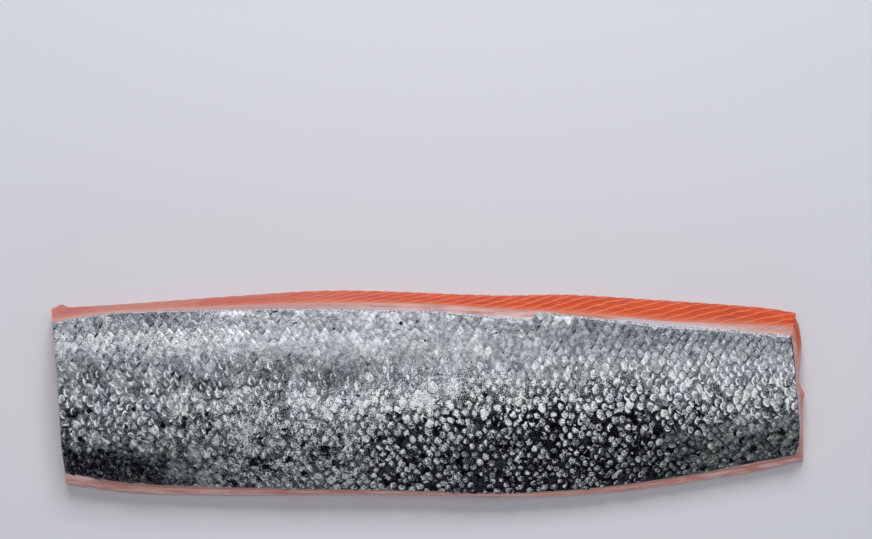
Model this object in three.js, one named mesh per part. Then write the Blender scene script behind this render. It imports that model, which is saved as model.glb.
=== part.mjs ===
// A skin-on piece of raw salmon: the back half of one side, lying skin up.
// Millimetres, +Z up. X runs from the head end (-) to the tail end (+), Y from the
// back edge (-) to the long knife cut along the flank (+). It rests on its flesh side.
//
// Every point of the fillet has three natural coordinates:
//   u  0 at the head end, 1 at the tail end
//   v  0 at the flank cut, 1 at the back edge
//   f  0 on the skin, 1 on the underside
// skin, fat_layer and flesh are three ranges of depth in that one body.

import * as THREE from 'three';
import { mergeVertices } from 'three/addons/utils/BufferGeometryUtils.js';

// ---------------------------------------------------------------- driving sizes
const CREST_HEAD = 28.5;       // thickness under the crest of the back, head end
const CREST_TAIL = 21.5;       // the same at the tail end
const CREST_FALL = { from: -120, run: 320 };   // the x where it thins, and how far that takes
const CREST_AT = 0.38;         // where the crest runs, as v
const FLANK_SHARE = 0.79;      // height of the skin's edge at the flank cut / crest
const BACK_SHARE = 0.35;       // height of the skin's edge at the back / crest
const BACK_ROUND = { power: 2.6, root: 0.8 };  // how the skin rolls over towards the back
const SAG = 0.7;               // depth of the slow waves along the soft body
const SAG_LENGTH = 150;        // and their length
const SAG_SLANT = 60;          // how far they run slantwise from the flank to the back

const SKIN = 0.9;              // thickness of the skin
const FAT_SHARE = [[-200, 0.08], [-110, 0.11], [-20, 0.15], [50, 0.14], [72, 0.09], [95, 0.045],
  [120, 0.042], [150, 0.06], [178, 0.11], [200, 0.16]];    // fat under the skin at an x, as a share of the thickness
const GAP = 0.3;               // between two layers

const WALL_CURVE = 1.7;        // how round the cut faces are: 1 is a flat slope
const TUCK_FROM = 0.85;        // below this depth the foot draws in again
const TUCK = 0.1;              // by this share of the slope

// Outlines seen from above, [x, y]: where the skin ends and where the flesh stands.
const FLANK_SKIN = [[-196, 32.3], [-184, 34.9], [-165, 37.9], [-118, 39.3], [-78, 40.1],
  [-40, 39.6], [5, 38.8], [50, 35.1], [98, 34.3], [125, 31.3], [150, 29.8], [196, 25.7]];
const FLANK_FOOT = [[-200, 44.1], [-165, 45.9], [-67, 53.0], [-35, 53.6], [38, 51.1],
  [75, 51.5], [120, 48.9], [160, 46.2], [184, 44.0], [200, 41.2]];
const BACK_SKIN = [[-190, -42.8], [-154, -48.0], [-117, -49.9], [-65, -51.3], [-13, -52.1],
  [39, -53.5], [91, -50.3], [143, -42.5], [196, -32.5]];
const BACK_FOOT = [[-190, -48.6], [-155, -52.9], [-118, -54.3], [-13, -54.3], [65, -55.2],
  [118, -50.6], [171, -42.5], [200, -36.0]];

// x of the skin's edge at the two ends, [v, x], and how far the cuts slope out to the foot.
const HEAD_SKIN = [[0, -194.6], [0.5, -189], [1, -187.4]];
const TAIL_SKIN = [[0, 191.4], [0.25, 191.9], [0.5, 192.7], [0.8, 194.2], [0.93, 194.1], [1, 192.2]];
const HEAD_LEAN = { flank: 4.2, rest: 1.2, from: 0.3 };   // more from the flank to this v
const TAIL_FOOT = 198.9;
const TAIL_BULGES = [                // soft flakes of the tail cut, each at a v
  { at: 0.02, wide: 0.05, out: -2 },
  { at: 0.2, wide: 0.06, out: 0.6 },
  { at: 0.43, wide: 0.08, out: -1.5 },
  { at: 0.56, wide: 0.03, out: 1.5 },
];
const NUB = { x: -194.5, wide: 2.5, out: 2.4 };          // torn tip at the head's flank foot
const FLAP = { x: 58, run: 40, rise: 2, out: 3.7, fade: 1 };   // loose lip of skin over the flank

const FLAKES = 40;             // bands of muscle along the fillet
const FLAKE_SWEEP = 20;        // how far a band leans to the tail, from fat to foot
const FLESH_FROM = 0.17;       // the depth, as f, where that lean begins
const FLAKE_OUT = 0.2;         // how far a band swells past its seams
const SWEEP_RAMP = 0.22;       // share of the length in which the lean dies at an end

const SCALES_LONG = 80;        // columns of scales, each staggered by half a scale
const COLUMN_EASE = 0.09;      // by this share the first column is wider, and the last narrower
const SCALES_WIDE = 24;        // rows of scales
const EVEN_ROWS = 9.4;         // so many rows on the flank are evenly spaced
const ROW_SHRINK = 0.04;       // after those, each row is narrower than the last by this share
const SCALE_UP = 0.28;         // a scale's raised middle
const SCALE_DOWN = 0.14;       // the pits between scales
const SCALE_LEAN = 0.7;        // how far the raised part lies towards the tail

const ROWS = 8;                // across the fillet, shared by all layers; SCALES_WIDE is a multiple
const ROW_CROWD = 1.6;         // rows crowd towards the round back edge
const SKIN_UNDER = 40;         // columns of the skin's smooth underside
const FAT_COLUMNS = 32;
const FLESH_LEVELS = 3;

// ---------------------------------------------------------------- small helpers
const mix = (a, b, t) => a + (b - a) * t;
const clamp01 = (t) => Math.min(1, Math.max(0, t));
const smooth = (t) => clamp01(t) ** 2 * (3 - 2 * clamp01(t));
const hump = (t) => Math.exp(-t * t);

// y(x) of the smooth curve through a few points, with the slope at each point taken
// from its two neighbours.
function through(points) {
  const slopes = points.map((point, i) => {
    const before = points[Math.max(i - 1, 0)];
    const after = points[Math.min(i + 1, points.length - 1)];
    return (after[1] - before[1]) / (after[0] - before[0]);
  });
  return (x) => {
    let i = 0;
    while (i < points.length - 2 && x > points[i + 1][0]) i += 1;
    const [x0, y0] = points[i];
    const [x1, y1] = points[i + 1];
    const run = x1 - x0;
    const t = (x - x0) / run;
    return y0 * (1 + 2 * t) * (1 - t) ** 2 + y1 * t * t * (3 - 2 * t)
      + run * (slopes[i] * t * (1 - t) ** 2 - slopes[i + 1] * t * t * (1 - t));
  };
}

// ---------------------------------------------------------------- the fillet's form
const flankSkin = through(FLANK_SKIN);
const flankFoot = through(FLANK_FOOT);
const backSkin = through(BACK_SKIN);
const backFoot = through(BACK_FOOT);
const headSkin = through(HEAD_SKIN);
const tailSkin = through(TAIL_SKIN);
const fatShare = through(FAT_SHARE);

// How far down the cut faces have sloped out at the depth share f.
function slope(f) {
  const out = 1 - (1 - clamp01(f / TUCK_FROM)) ** WALL_CURVE;
  const tuck = clamp01((f - TUCK_FROM) / (1 - TUCK_FROM)) ** 2 * TUCK;
  return out - tuck;
}

// x of the two end cuts.
function ends(v, f) {
  const lean = slope(f);
  const toFlank = clamp01(1 - v / HEAD_LEAN.from) ** 2;
  const headLean = mix(HEAD_LEAN.rest, HEAD_LEAN.flank, toFlank);
  let tailFoot = TAIL_FOOT;
  for (const { at, wide, out } of TAIL_BULGES) tailFoot += out * hump((v - at) / wide);
  return [headSkin(v) - headLean * lean, mix(tailSkin(v), tailFoot, lean)];
}

// Height of the skin over the table.
function height(x, v) {
  const crest = mix(CREST_HEAD, CREST_TAIL, smooth((x - CREST_FALL.from) / CREST_FALL.run));
  const toFlank = clamp01((CREST_AT - v) / CREST_AT);
  const toBack = clamp01((v - CREST_AT) / (1 - CREST_AT));
  const dome = v < CREST_AT
    ? 1 - (1 - FLANK_SHARE) * toFlank ** 2
    : mix(BACK_SHARE, 1, (1 - toBack ** BACK_ROUND.power) ** BACK_ROUND.root);
  const wave = Math.sin((2 * Math.PI * (x + SAG_SLANT * v)) / SAG_LENGTH);
  return crest * dome + SAG * wave * Math.sin(Math.PI * v);
}

// How far the muscle bands have leant to the tail at the depth share f.
function sweep(u, f) {
  const down = clamp01((f - FLESH_FROM) / (1 - FLESH_FROM));
  const ramp = smooth(u / SWEEP_RAMP) * smooth((1 - u) / SWEEP_RAMP);
  return FLAKE_SWEEP * down * (2 - down) * ramp;
}

// The point at u, v and a depth in millimetres. depth(x, v) may vary over the fillet.
function place(u, v, depth, leaning = false) {
  let x = mix(...ends(v, 0), u);
  const f = depth(x, v) / height(x, v);
  x = mix(...ends(v, f), u);
  if (leaning) x += sweep(u, f);
  const lean = slope(f);
  const nub = NUB.out * hump((x - NUB.x) / NUB.wide) * smooth(f * 2 - 1);
  const flank = mix(flankSkin(x), flankFoot(x) + nub, lean);
  const back = mix(backSkin(x), backFoot(x), lean);
  return new THREE.Vector3(x, mix(flank, back, v), height(x, v) * (1 - f));
}

const rowAt = (share) => 1 - (1 - share) ** ROW_CROWD;

// A block of the fillet between two depths, from a box whose own x, y and z are u, v and
// depth. shape(point, column, row, share) may move each point a little.
function layer(columns, levels, upper, lower, leaning, shape = () => {}) {
  const box = new THREE.BoxGeometry(1, 1, 1, columns, ROWS, levels);
  const at = box.attributes.position;
  for (let i = 0; i < at.count; i += 1) {
    const u = at.getX(i) + 0.5;
    const row = Math.round((0.5 - at.getY(i)) * ROWS);
    const share = 0.5 - at.getZ(i);
    const depth = (x, v) => mix(upper(x, v), lower(x, v), share);
    const point = place(u, rowAt(row / ROWS), depth, leaning);
    shape(point, Math.round(u * columns), row, share);
    at.setXYZ(i, ...point);
  }
  return box;
}

// ---------------------------------------------------------------- skin
// How far the loose lip of skin reaches over the flank at x.
function flap(x) {
  const along = clamp01((x - FLAP.x) / FLAP.run);
  return FLAP.out * smooth((x - FLAP.x) / FLAP.rise + 1) * (1 - along) ** FLAP.fade;
}

function skinPoint(u, v, depth) {
  const point = place(u, v, () => depth);
  point.y += flap(point.x) * clamp01(1 - v / rowAt(1 / ROWS));
  return point;
}

// v of a row of scales: even steps on the flank, then steps that shrink towards the back.
function scaleRow(row) {
  const reach = (n) => {
    const past = Math.max(n - EVEN_ROWS, 0);
    return Math.min(n, EVEN_ROWS) + (1 - Math.exp(-ROW_SHRINK * past)) / ROW_SHRINK;
  };
  return reach(row) / reach(SCALES_WIDE);
}

// u of a place along the columns of scales, which narrow a little towards the tail.
const columnAt = (share) => share + COLUMN_EASE * share * (1 - share);

// Raised middles and pits take turns over a grid of half scales, so that each raised
// middle stands half a scale aside of those in the next row.
function scaledPoint(u, v, column, row) {
  const point = skinPoint(u, v, 0);
  const atEdge = row === 0 || row === SCALES_WIDE || column === 0 || column === 2 * SCALES_LONG;
  if (atEdge) return point;
  const raised = (column + row) % 2 === 0;
  point.z += raised ? SCALE_UP : -SCALE_DOWN;
  point.x += raised ? SCALE_LEAN : 0;
  return point;
}

// The points of a grid, row by row from the flank to the back.
function grid(columns, rows, pointAt) {
  const points = [];
  for (let row = 0; row <= rows; row += 1) {
    for (let column = 0; column <= columns; column += 1) points.push(pointAt(column, row));
  }
  return points;
}

// The numbers of a grid's edge points in turn, clockwise seen from above.
function rim(columns, rows, first) {
  const at = (column, row) => first + row * (columns + 1) + column;
  const loop = [];
  for (let i = 0; i < columns; i += 1) loop.push(at(i, 0));
  for (let i = 0; i < rows; i += 1) loop.push(at(columns, i));
  for (let i = columns; i > 0; i -= 1) loop.push(at(i, rows));
  for (let i = rows; i > 0; i -= 1) loop.push(at(0, i));
  return loop;
}

// Two triangles for each cell of a grid; the underside is wound the other way.
function cells(columns, rows, first, facingUp) {
  const faces = [];
  for (let row = 0; row < rows; row += 1) {
    for (let column = 0; column < columns; column += 1) {
      const a = first + row * (columns + 1) + column;
      const c = a + columns + 1;
      const quad = facingUp ? [a, c, a + 1, a + 1, c, c + 1] : [a, a + 1, c, a + 1, c + 1, c];
      faces.push(...quad);
    }
  }
  return faces;
}

// The scaled top and the smooth underside, joined by a wall round the edge. The top has a
// whole number of edge steps for each step of the underside.
function skinGeometry() {
  const topColumns = 2 * SCALES_LONG;
  const top = grid(topColumns, SCALES_WIDE,
    (column, row) => scaledPoint(columnAt(column / topColumns), scaleRow(row), column, row));
  const under = grid(SKIN_UNDER, ROWS,
    (column, row) => skinPoint(columnAt(column / SKIN_UNDER), rowAt(row / ROWS), SKIN));
  const faces = [
    ...cells(topColumns, SCALES_WIDE, 0, true),
    ...cells(SKIN_UNDER, ROWS, top.length, false),
  ];
  const topRim = rim(topColumns, SCALES_WIDE, 0);
  const underRim = rim(SKIN_UNDER, ROWS, top.length);
  let k = 0;
  underRim.forEach((low, i) => {
    const nextLow = underRim[(i + 1) % underRim.length];
    const alongLength = i % (SKIN_UNDER + ROWS) < SKIN_UNDER;
    const steps = alongLength ? topColumns / SKIN_UNDER : SCALES_WIDE / ROWS;
    const turn = Math.ceil(steps / 2);
    for (let step = 0; step < steps; step += 1) {
      const high = topRim[k % topRim.length];
      const nextHigh = topRim[(k + 1) % topRim.length];
      if (step === turn) faces.push(high, nextLow, low);
      faces.push(high, nextHigh, step < turn ? low : nextLow);
      k += 1;
    }
  });
  const geometry = new THREE.BufferGeometry().setFromPoints([...top, ...under]);
  geometry.setIndex(faces);
  return geometry;
}

// ---------------------------------------------------------------- fat and flesh
const fatTop = () => SKIN + GAP;
const fatBottom = (x, v) => fatTop() + fatShare(x) * height(x, v);
const fleshTop = (x, v) => fatBottom(x, v) + GAP;

const fatGeometry = () => layer(FAT_COLUMNS, 1, fatTop, fatBottom, false);

// The muscle bands swell a little past their seams on both long faces.
function fleshGeometry() {
  return layer(2 * FLAKES, FLESH_LEVELS, fleshTop, height, true, (point, column, row, share) => {
    const outward = (row === 0) - (row === ROWS);
    const swell = column % 2 ? FLAKE_OUT : -FLAKE_OUT;
    point.y += outward * swell * smooth(share * 2);
  });
}

// ---------------------------------------------------------------- the model
function piece(name, geometry, material) {
  geometry.deleteAttribute('normal');
  geometry.deleteAttribute('uv');
  const merged = mergeVertices(geometry);
  merged.computeVertexNormals();
  const mesh = new THREE.Mesh(merged, new THREE.MeshStandardMaterial(material));
  mesh.name = name;
  return mesh;
}

const fillet = new THREE.Group();
fillet.add(
  piece('skin', skinGeometry(), { color: 0x8e959b, roughness: 0.34, metalness: 0.45 }),
  piece('fat_layer', fatGeometry(), { color: 0xe2b3a4, roughness: 0.42, metalness: 0 }),
  piece('flesh', fleshGeometry(), { color: 0xd9552c, roughness: 0.38, metalness: 0 }),
);

// The origin is the middle of the footprint, on the table.
const bounds = new THREE.Box3().setFromObject(fillet);
const middle = bounds.getCenter(new THREE.Vector3());
fillet.position.set(-middle.x, -middle.y, -bounds.min.z);

export default fillet;
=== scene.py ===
# %% [markdown]
# # A skin-on piece of raw salmon
# The piece is the back half of one side of a salmon, lying skin up. A knife has cut it on
# three sides, so it shows its layers: scales on the skin, a thin pale layer of fat, and
# orange flesh in slanted bands. We build each layer as a surface worked out by a formula,
# so every layer follows the same body and none of them has to be fitted by eye.

# %% The frame
import math

import bpy
import numpy as np
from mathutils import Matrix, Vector

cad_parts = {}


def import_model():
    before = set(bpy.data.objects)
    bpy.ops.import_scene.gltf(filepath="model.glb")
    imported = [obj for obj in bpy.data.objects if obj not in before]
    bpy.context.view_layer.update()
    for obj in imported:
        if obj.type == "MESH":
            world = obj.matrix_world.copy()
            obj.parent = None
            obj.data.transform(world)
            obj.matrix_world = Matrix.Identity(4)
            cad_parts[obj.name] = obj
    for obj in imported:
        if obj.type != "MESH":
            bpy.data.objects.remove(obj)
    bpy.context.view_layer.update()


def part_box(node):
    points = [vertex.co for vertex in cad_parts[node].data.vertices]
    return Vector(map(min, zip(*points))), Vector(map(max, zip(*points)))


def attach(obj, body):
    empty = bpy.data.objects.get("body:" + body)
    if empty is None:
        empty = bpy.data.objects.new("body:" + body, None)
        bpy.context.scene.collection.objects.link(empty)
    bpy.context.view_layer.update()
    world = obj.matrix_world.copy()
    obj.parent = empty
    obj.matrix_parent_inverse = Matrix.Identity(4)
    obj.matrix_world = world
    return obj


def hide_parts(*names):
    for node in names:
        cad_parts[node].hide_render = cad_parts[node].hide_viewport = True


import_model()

# %% [markdown]
# ## Units and small helpers
# All sizes of the fish are in millimetres, and each turns into Blender's metres where a
# mesh or a material is made. The helpers work on whole numpy arrays: one call bends
# thousands of points, which is both shorter and much faster than a loop over them.

# %% Steps and bells
MM = 0.001


def mix(a, b, t):
    """a at t = 0, b at t = 1, and a straight line between them."""
    return a + (b - a) * t


def clamp01(t):
    """t, but never under 0 or over 1."""
    return np.clip(t, 0.0, 1.0)


def smooth(t):
    """An S-shaped step from 0 to 1: 3 t squared minus 2 t cubed."""
    t = clamp01(t)
    return t * t * (3 - 2 * t)


def hump(t):
    """A bell: e to the power of minus t squared."""
    return np.exp(-np.square(t))


print("a smooth step at one half is", smooth(0.5))


# %% Curves and waves
def through(points):
    """The smooth curve y(x) through a few points. Each piece is a cubic, and the slope at
    a point is that of the line between its two neighbours."""
    x, y = np.array(points, float).T
    before = np.maximum(np.arange(len(x)) - 1, 0)
    after = np.minimum(np.arange(len(x)) + 1, len(x) - 1)
    slopes = (y[after] - y[before]) / (x[after] - x[before])

    def curve(at):
        i = np.clip(np.searchsorted(x, at) - 1, 0, len(x) - 2)
        run = x[i + 1] - x[i]
        t = (at - x[i]) / run
        low = y[i] * (1 + 2 * t) * (1 - t) ** 2 + y[i + 1] * t * t * (3 - 2 * t)
        bend = slopes[i] * t * (1 - t) ** 2 - slopes[i + 1] * t * t * (1 - t)
        return low + run * bend

    return curve


def waves(x, y, length, seed, count=24):
    """Smooth random unevenness from about -1 to 1: the sum of many sine waves that run
    in all directions, each about as long as length."""
    dice = np.random.default_rng(seed)
    turn = dice.uniform(0, 2 * math.pi, (3, count))
    pace = 2 * math.pi / (length * dice.uniform(0.7, 1.6, count))
    total = np.zeros(np.broadcast(x, y).shape)
    for k in range(count):
        along = x * math.cos(turn[0, k]) + y * math.sin(turn[0, k])
        total += np.sin(along * pace[k] + turn[1, k])
    return total / math.sqrt(count / 2)


print("a curve half way up:", through([(0, 0), (1, 2), (2, 3)])(0.5))

# %% [markdown]
# ## The body of the fillet
# Every point of the fillet gets three natural coordinates: u runs from the head end to
# the tail end, v from the cut along the flank to the back edge, and f from the skin down
# to the underside. The outline seen from above has only a few points, a dome formula
# gives the height, and the cut faces slope outwards. These are the same sizes as the
# solids have, so what we build fits them.

# %% Outline seen from above
flank_skin = through([(-196, 32.3), (-184, 34.9), (-165, 37.9), (-118, 39.3), (-78, 40.1),
                      (-40, 39.6), (5, 38.8), (50, 35.1), (98, 34.3), (125, 31.3), (150, 29.8),
                      (196, 25.7)])
flank_foot = through([(-200, 44.1), (-165, 45.9), (-67, 53.0), (-35, 53.6), (38, 51.1),
                      (75, 51.5), (120, 48.9), (160, 46.2), (184, 44.0), (200, 41.2)])
back_skin = through([(-190, -42.8), (-154, -48.0), (-117, -49.9), (-65, -51.3), (-13, -52.1),
                     (39, -53.5), (91, -50.3), (143, -42.5), (196, -32.5)])
back_foot = through([(-190, -48.6), (-155, -52.9), (-118, -54.3), (-13, -54.3), (65, -55.2),
                     (118, -50.6), (171, -42.5), (200, -36.0)])
head_skin = through([(0, -194.6), (0.5, -189.0), (1, -187.4)])
tail_skin = through([(0, 191.4), (0.25, 191.9), (0.5, 192.7), (0.8, 194.2), (0.93, 194.1),
                     (1, 192.2)])
HEAD_LEAN, HEAD_LEAN_FLANK, HEAD_LEAN_FROM = 1.2, 4.2, 0.3
TAIL_FOOT = 198.9
TAIL_BULGES = [(0.02, 0.05, -2), (0.2, 0.06, 0.6), (0.43, 0.08, -1.5), (0.56, 0.03, 1.5)]
WALL_CURVE = 1.7
TUCK_FROM, TUCK = 0.85, 0.1


def slope(f):
    """How far out a cut face has come at depth f: a curve that starts steeply under the
    skin and ends upright, less a small tuck at the foot."""
    out = 1 - (1 - clamp01(f / TUCK_FROM)) ** WALL_CURVE
    return out - TUCK * clamp01((f - TUCK_FROM) / (1 - TUCK_FROM)) ** 2


def ends(v, f):
    """x of the head cut and of the tail cut. Each slopes out by its lean, and the soft
    tail cut bulges here and there at its foot."""
    lean = slope(f)
    head_lean = mix(HEAD_LEAN, HEAD_LEAN_FLANK, clamp01(1 - v / HEAD_LEAN_FROM) ** 2)
    tail_foot = TAIL_FOOT
    for at, wide, out in TAIL_BULGES:
        tail_foot = tail_foot + out * hump((v - at) / wide)
    return head_skin(v) - head_lean * lean, mix(tail_skin(v), tail_foot, lean)


print("the skin is", (flank_skin(0.0) - back_skin(0.0)).round(1), "mm wide at the middle")

# %% [markdown]
# The skin arches over the flesh like a low roof. A crest runs along the piece and thins
# towards the tail, the flank side falls gently to the cut, and the back side rolls over.
# A body function then puts the outline, the arch and the sloping cuts together.

# %% Height and body
CREST_HEAD, CREST_TAIL = 28.5, 21.5
CREST_FROM, CREST_RUN = -120, 320
CREST_AT = 0.38
FLANK_SHARE, BACK_SHARE = 0.79, 0.35
BACK_POWER, BACK_ROOT = 2.6, 0.8
SAG, SAG_LENGTH, SAG_SLANT = 0.7, 150, 60
NUB_X, NUB_WIDE, NUB_OUT = -194.5, 2.5, 2.4


def height(x, v):
    """Height of the skin: a crest that thins towards the tail, times a dome across the
    fillet that rolls over at the back, plus slow waves."""
    crest = mix(CREST_HEAD, CREST_TAIL, smooth((x - CREST_FROM) / CREST_RUN))
    flank_side = 1 - (1 - FLANK_SHARE) * clamp01((CREST_AT - v) / CREST_AT) ** 2
    to_back = clamp01((v - CREST_AT) / (1 - CREST_AT))
    back_side = mix(BACK_SHARE, 1, (1 - to_back ** BACK_POWER) ** BACK_ROOT)
    wave = np.sin(2 * math.pi * (x + SAG_SLANT * v) / SAG_LENGTH)
    dome = np.where(v < CREST_AT, flank_side, back_side)
    return crest * dome + SAG * wave * np.sin(math.pi * clamp01(v))


def body(u, v, depth):
    """The point of the fillet at u, v and a depth in millimetres, and its depth share f.
    depth is a function of x and v."""
    head, tail = ends(v, 0.0)
    x = mix(head, tail, u)
    f = clamp01(depth(x, v) / height(x, v))
    head, tail = ends(v, f)
    x = mix(head, tail, u)
    lean = slope(f)
    nub = NUB_OUT * hump((x - NUB_X) / NUB_WIDE) * smooth(f * 2 - 1)
    flank = mix(flank_skin(x), flank_foot(x) + nub, lean)
    back = mix(back_skin(x), back_foot(x), lean)
    return np.stack([x, mix(flank, back, v), height(x, v) * (1 - f)], -1), f


print("the skin is", height(0.0, CREST_AT).round(1), "mm high in the middle")

# %% [markdown]
# The solids stand with the middle of their footprint at the origin, so we sample our
# body, find its own middle and move it by as much as brings the two together.

# %% Where the body stands
SAMPLE_DEPTHS = (0.6, 0.75, 0.85, 1.0)
low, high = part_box("flesh")
u, v = np.meshgrid(np.linspace(0, 1, 400), np.linspace(0, 1, 60), indexing="ij")
sample = np.concatenate([body(u, v, lambda x, v: share * height(x, v))[0].reshape(-1, 3)
                         for share in SAMPLE_DEPTHS])
middle_here = (sample.min(0) + sample.max(0)) / 2
SHIFT = np.array([(low.x + high.x) / 2 / MM, (low.y + high.y) / 2 / MM, 0.0])
SHIFT[:2] -= middle_here[:2]
print("body reaches", sample.min(0).round(1), sample.max(0).round(1), "shift", SHIFT.round(2))

# %% [markdown]
# ## From grids to meshes
# A closed layer is a box whose three directions are u, v and depth. We number the points
# of the box's surface once, so that neighbouring faces share them and no seam opens,
# and then move each point to its place in the fillet.

# %% Mesh helpers
SHARP_FROM = math.radians(50)


def box_surface(columns, rows, levels):
    """The points and outward quads of a box surface of so many cells each way. Returns
    the points as whole numbers of cells, and the quads."""
    sizes = (columns, rows, levels)
    corners = []
    for axis in range(3):
        b, c = (axis + 1) % 3, (axis + 2) % 3
        at_b, at_c = np.meshgrid(np.arange(sizes[b]), np.arange(sizes[c]), indexing="ij")
        for side in (0, 1):
            steps = [(0, 0), (1, 0), (1, 1), (0, 1)] if side else [(0, 0), (0, 1), (1, 1), (1, 0)]
            quad = np.zeros((at_b.size, 4, 3), int)
            quad[:, :, axis] = side * sizes[axis]
            for k, (step_b, step_c) in enumerate(steps):
                quad[:, k, b] = at_b.ravel() + step_b
                quad[:, k, c] = at_c.ravel() + step_c
            corners.append(quad)
    flat = np.concatenate(corners).reshape(-1, 3)
    points, index = np.unique(flat, axis=0, return_inverse=True)
    return points, index.reshape(-1, 4)


def make_piece(name, points, faces, material):
    """A mesh object from points in millimetres, riding on the root body."""
    mesh = bpy.data.meshes.new(name)
    mesh.from_pydata(((points + SHIFT) * MM).tolist(), [], [list(face) for face in faces])
    mesh.shade_smooth()
    mesh.set_sharp_from_angle(angle=SHARP_FROM)
    mesh.materials.append(material)
    piece = bpy.data.objects.new(name, mesh)
    bpy.context.scene.collection.objects.link(piece)
    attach(piece, "root")
    print(name, len(points), "points", len(faces), "faces")
    return piece


def add_value(piece, name, values):
    """Stores one number for each point of the mesh, for a material to read."""
    store = piece.data.attributes.new(name, "FLOAT", "POINT")
    store.data.foreach_set("value", np.ascontiguousarray(values, np.float32).ravel())


print("a box of 2, 3 and 4 cells has", len(box_surface(2, 3, 4)[1]), "faces")


# %% [markdown]
# ## Materials
# Fish is wet. Flesh and fat get a clear coat over their colour, and skin and scales a
# soft gloss of their own. Node groups would hide what goes on, so each material is a
# short list of nodes, joined by a helper.

# %% Material helpers
class Nodes:
    """A short way to write a material: each call adds a node and returns its output."""

    def __init__(self, name):
        self.material = bpy.data.materials.new(name)
        self.material.use_nodes = True
        self.tree = self.material.node_tree
        self.shader = self.tree.nodes["Principled BSDF"]

    def feed(self, socket, value):
        """Links an output to the socket, or sets the socket to a plain value."""
        if isinstance(value, bpy.types.NodeSocket):
            self.tree.links.new(value, socket)
        elif isinstance(value, tuple) and len(value) == 3 and socket.type == "RGBA":
            socket.default_value = (*value, 1.0)
        else:
            socket.default_value = value

    def node(self, kind, output, settings=None, **inputs):
        """Any node. An input is named, or is an underscore and its number."""
        node = self.tree.nodes.new(kind)
        for key, value in (settings or {}).items():
            setattr(node, key, value)
        for key, value in inputs.items():
            socket = node.inputs[int(key[1:])] if key[0] == "_" else node.inputs[key]
            self.feed(socket, value)
        return node.outputs[output]

    def value(self, name):
        """The number that the mesh stores at each point under this name."""
        return self.node("ShaderNodeAttribute", "Fac", {"attribute_name": name})

    def place(self):
        """The place on the piece in metres."""
        return self.node("ShaderNodeTexCoord", "Object")

    def math(self, operation, a, b=0.0, clamp=False):
        """One sum of two numbers, such as MAXIMUM."""
        return self.node("ShaderNodeMath", 0, {"operation": operation, "use_clamp": clamp},
                         _0=a, _1=b)

    def plus(self, *values):
        """The sum of several values."""
        total = values[0]
        for value in values[1:]:
            total = self.math("ADD", total, value)
        return total

    def minus(self, a, b):
        """a less b."""
        return self.math("SUBTRACT", a, b)

    def times(self, a, b):
        """a times b."""
        return self.math("MULTIPLY", a, b)

    def between(self, amount, a, b):
        """Value a where amount is 0 and value b where it is 1."""
        return self.plus(self.times(self.minus(1.0, amount), a), self.times(amount, b))

    def fade(self, value, low, high, to_low=0.0, to_high=1.0):
        """Value from low to high becomes a smooth step from to_low to to_high."""
        node = self.tree.nodes.new("ShaderNodeMapRange")
        node.interpolation_type = "SMOOTHSTEP"
        for socket, number in zip(node.inputs, (value, low, high, to_low, to_high)):
            self.feed(socket, number)
        return node.outputs[0]

    def blend(self, amount, a, b, kind="MIX"):
        """Colour a where amount is 0 and colour b where it is 1."""
        node = self.tree.nodes.new("ShaderNodeMix")
        node.data_type = "RGBA"
        node.blend_type = kind
        self.feed(node.inputs["Factor"], amount)
        self.feed(node.inputs[6], a)
        self.feed(node.inputs[7], b)
        return node.outputs[2]

    def layered(self, colour, *layers):
        """A colour with others laid over it in turn, each given as how much and which."""
        for amount, over in layers:
            colour = self.blend(amount, colour, over)
        return colour

    def noise(self, size, detail=3.0, stretch=(1, 1, 1), rough=0.55):
        """Cloudy noise whose spots are about size millimetres, drawn out by stretch."""
        spot = self.node("ShaderNodeMapping", 0, {"vector_type": "TEXTURE"},
                         Vector=self.place(), Scale=stretch)
        return self.node("ShaderNodeTexNoise", 0, Vector=spot, Scale=1 / (size * MM),
                         Detail=detail, Roughness=rough)

    def bump(self, heights, distance):
        """Fine relief: heights from 0 to 1, and how many millimetres 1 stands for."""
        return self.node("ShaderNodeBump", 0, Height=heights, Distance=distance * MM,
                         Strength=1.0)

    def set(self, **inputs):
        """Feeds the shader's own inputs, written with an underscore for each space."""
        for key, value in inputs.items():
            self.feed(self.shader.inputs[key.replace("_", " ")], value)


def srgb(r, g, b):
    """A colour given as it looks on a screen, 0 to 255, in the linear light shaders use."""
    share = np.array([r, g, b]) / 255
    light = np.where(share <= 0.04045, share / 12.92, ((share + 0.055) / 1.055) ** 2.4)
    return tuple(float(x) for x in light)


print("middle grey is", round(srgb(128, 128, 128)[0], 2), "in linear light")

# %% [markdown]
# ## The flesh
# Salmon muscle is built in bands, each about a centimetre deep, with a thin pale seam of
# fat between two of them. Where a knife crosses the bands, the seams show as slanted
# lines, on the underside as nested arrows, and across the end as rings. One number that
# counts the bands, worked out in three dimensions, gives all of these at once, so the
# lines meet at every edge.

# %% Muscle bands
BANDS = 40
SWEEP_HEAD, SWEEP_TAIL = 62.0, 44.0
SWEEP_FROM, SWEEP_RUN = -70, 140
ARROW = 2.6


def band_count(x, v, f):
    """Which muscle band a point is in: the share of the length, after undoing the lean
    to the tail with depth, times the bands, plus an arrow shape across the fillet."""
    head, tail = ends(v, f)
    sweep = mix(SWEEP_HEAD, SWEEP_TAIL, smooth((x - SWEEP_FROM) / SWEEP_RUN))
    straight = (x - sweep * slope(f) - head) / (tail - head)
    arrow = ARROW * np.sin(math.pi * v) ** 2
    return BANDS * straight + arrow


print("bands along the flank's foot:",
      (band_count(192.0, 0.0, 1.0) - band_count(-192.0, 0.0, 1.0)).round(1))

# %% [markdown]
# The layers lie on one another at depths that are measured down from the skin. The fat
# is a share of the height, thick in the middle and at the tail cut, and thin before it.

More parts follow.
